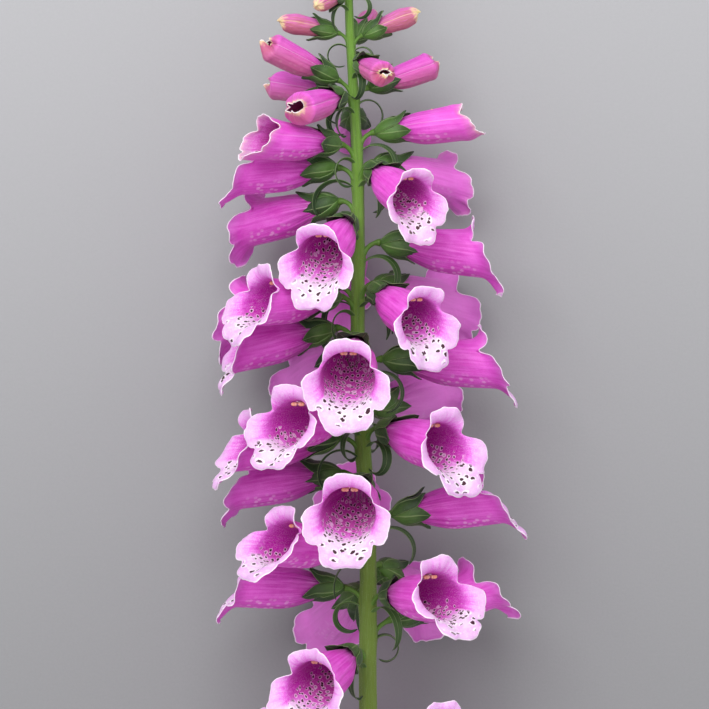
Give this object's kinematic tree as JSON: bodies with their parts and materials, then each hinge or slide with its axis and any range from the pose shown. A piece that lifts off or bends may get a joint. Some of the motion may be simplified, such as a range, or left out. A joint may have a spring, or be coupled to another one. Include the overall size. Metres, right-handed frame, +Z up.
{
  "type": "foxglove flower spike",
  "caption": "Cut foxglove spike lying on a surface: a leafy stem thick with hanging magenta bells, freckled inside, and closed buds at its tip.",
  "frame": {"origin": "on the surface it lies on, under the middle of its overall box", "axes": "+Y along the stem towards the tip, +Z up from the surface, +X to the right of the stem seen from above with the tip away"},
  "size_m": [0.134, 0.499, 0.1151],
  "materials": {
    "petals": "soft satin petal, paler at the edges",
    "young_petals": "soft satin petal, salmon pink with a cream tip",
    "greenery": "downy, matt"
  },
  "bodies": {
    "root": {"bell_01": "petals", "bell_02": "petals", "bell_03": "petals", "bell_04": "petals", "bell_05": "petals", "bell_06": "petals", "bell_07": "petals", "bell_08": "petals", "bell_09": "petals", "bell_10": "petals", "bell_11": "petals", "bell_13": "petals", "bell_14": "petals", "bell_15": "petals", "bell_16": "petals", "bell_17": "petals", "bell_18": "petals", "bell_19": "petals", "bell_20": "petals", "bell_21": "petals", "bell_22": "petals", "bell_24": "petals", "bell_25": "petals", "bell_26": "petals", "bell_27": "petals", "bell_29": "petals", "bell_30": "petals", "bell_31": "petals", "bell_32": "petals", "bell_33": "petals", "bell_34": "petals", "bell_35": "petals", "bell_36": "petals", "bell_37": "petals", "bell_38": "petals", "bell_39": "petals", "bell_40": "petals", "bell_41": "petals", "bell_42": "petals", "bell_44": "petals", "bell_45": "petals", "bell_46": "petals", "bell_47": "petals", "bell_48": "petals", "bud_12": "young_petals", "bud_23": "young_petals", "bud_28": "young_petals", "bud_43": "young_petals", "bud_49": "young_petals", "bud_50": "young_petals", "bud_51": "young_petals", "bud_52": "young_petals", "bud_53": "young_petals", "bud_54": "young_petals", "bud_55": "young_petals", "leafy_stem": "greenery"}
  },
  "joints": []
}
